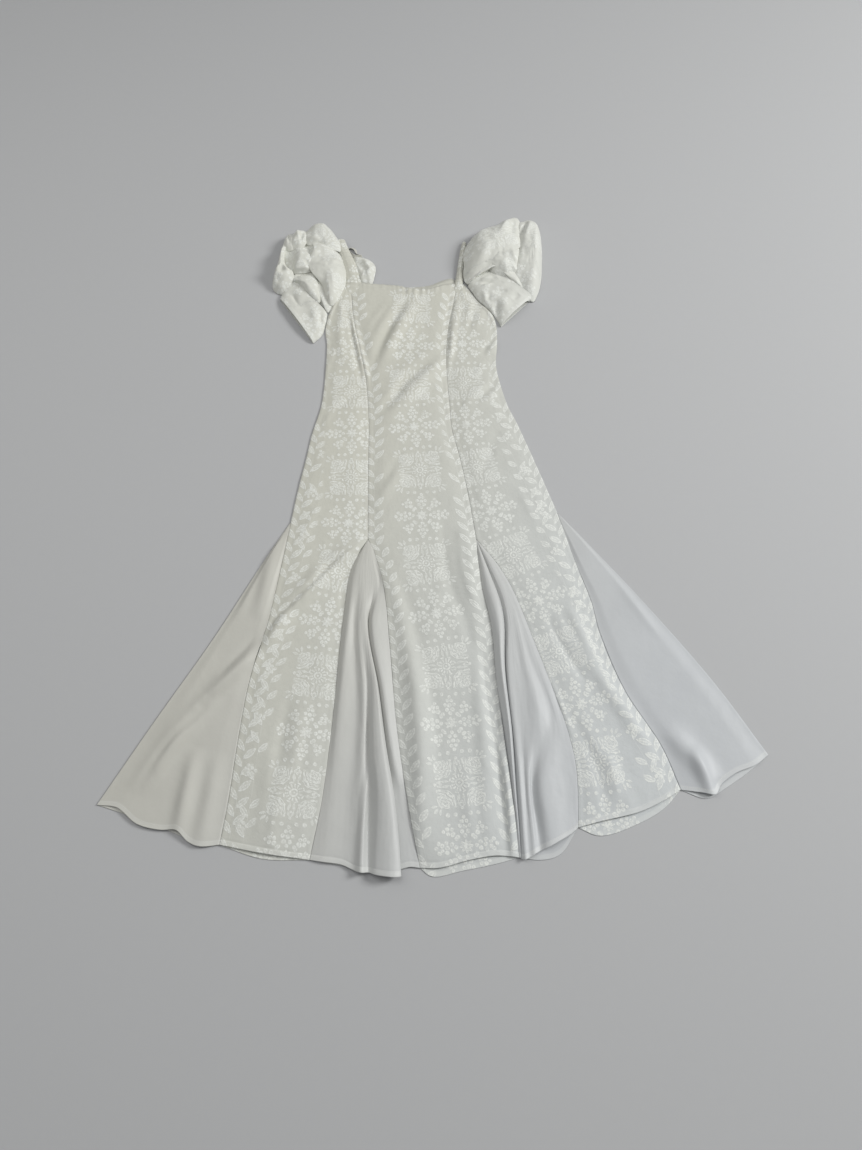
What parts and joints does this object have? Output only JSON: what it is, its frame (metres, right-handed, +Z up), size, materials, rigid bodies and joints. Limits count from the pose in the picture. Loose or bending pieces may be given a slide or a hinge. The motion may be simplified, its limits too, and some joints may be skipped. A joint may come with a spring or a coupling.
{
  "type": "muumuu laid flat",
  "caption": "Long fitted muumuu laid flat on its back, with princess seams, flared plain godets and puffed two-tier sleeves.",
  "frame": {"origin": "on the surface that the garment lies on, under the centre back panel at the height of the hip", "axes": "+Z up from the surface, +Y towards the neck, +X to the right as seen from the hem"},
  "size_m": [1.196, 1.4994, 0.0552],
  "materials": {
    "printed_cloth": "soft off-white cloth with a slightly brighter white leaf and blossom print",
    "plain_satin": "plain off-white satin with a low sheen"
  },
  "bodies": {
    "root": {"front_centre": "printed_cloth", "front_side_left": "printed_cloth", "front_side_right": "printed_cloth", "back_centre": "printed_cloth", "back_side_left": "printed_cloth", "back_side_right": "printed_cloth", "sleeve_upper_left": "printed_cloth", "sleeve_upper_right": "printed_cloth", "sleeve_lower_left": "printed_cloth", "sleeve_lower_right": "printed_cloth", "neck_casing_left": "printed_cloth", "neck_casing_right": "printed_cloth", "sleeve_back_left": "printed_cloth", "godet_front_left": "plain_satin", "godet_front_right": "plain_satin", "godet_side_left": "plain_satin", "godet_side_right": "plain_satin", "godet_back_left": "plain_satin", "godet_back_right": "plain_satin", "ribbon_loop_left": "plain_satin"}
  },
  "joints": []
}
